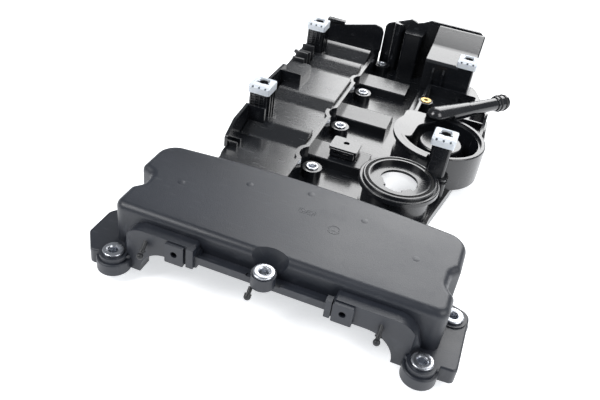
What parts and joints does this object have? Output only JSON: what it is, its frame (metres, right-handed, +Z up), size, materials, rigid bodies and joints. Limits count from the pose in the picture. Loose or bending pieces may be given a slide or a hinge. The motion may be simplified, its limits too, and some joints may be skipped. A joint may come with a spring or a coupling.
{
  "type": "cylinder head cover",
  "caption": "Moulded cylinder head cover with a front timing chamber, oil separator bowl, filler neck, ball-stud sockets and flanged bolt sleeves.",
  "frame": {"origin": "front left bolt axis, on the lower face of its lug", "axes": "+Z up along the bolts, +Y along the crankshaft towards the rear, +X across the engine from the origin to the front right bolt"},
  "size_m": [0.2938, 0.4908, 0.081],
  "materials": {
    "housing": "matte glass-filled nylon with a fine grain",
    "cover": "smooth black moulding",
    "black_plastic": "satin",
    "steel": "zinc plated, satin",
    "spring_steel": "drawn wire",
    "brass": "turned and knurled",
    "socket_white": "smooth natural acetal",
    "rubber": "matte elastomer"
  },
  "bodies": {
    "cover": {"front_housing": "housing", "front_sleeves": "steel", "retaining_pegs": "black_plastic", "cover_base": "cover", "perimeter_gasket": "rubber", "centre_sleeves": "steel", "left_shell": "cover", "harness_comb": "black_plastic", "vent_nozzle": "black_plastic", "filler_neck": "cover", "neck_seal": "rubber", "separator_shell": "cover", "outlet_spigot": "black_plastic", "spigot_rings": "rubber", "rear_shell": "cover", "harness_bracket": "black_plastic", "threaded_insert": "brass", "snap_socket_front_left": "socket_white", "snap_socket_rear_left": "socket_white", "snap_socket_front_right": "socket_white", "snap_socket_rear_right": "socket_white", "regulator_ring": "black_plastic", "diaphragm": "rubber", "regulator_spring": "spring_steel", "regulator_cap": "black_plastic", "bypass_spring": "spring_steel", "bypass_cage": "black_plastic", "labyrinth": "black_plastic", "splash_baffle": "black_plastic", "baffle_screws": "steel"},
    "regulator_piston": {"regulator_plate": "black_plastic"},
    "drain_poppet": {"drain_valve": "rubber"},
    "bypass_poppet": {"bypass_disc": "black_plastic"}
  },
  "joints": [
    {"name": "regulator_slide", "type": "slide", "parent": "cover", "child": "regulator_piston", "axis": [0, 0, 1], "range_m": [-0.0019, 0.0004], "stiffness_N_per_m": 200, "deforming": ["regulator_spring", "diaphragm"]},
    {"name": "drain_slide", "type": "slide", "parent": "cover", "child": "drain_poppet", "axis": [0, 0, 1], "range_m": [0, 0.0016]},
    {"name": "bypass_slide", "type": "slide", "parent": "cover", "child": "bypass_poppet", "axis": [0, 0, 1], "range_m": [0, 0.003], "stiffness_N_per_m": 100, "springref_m": -0.001, "deforming": ["bypass_spring"]}
  ]
}
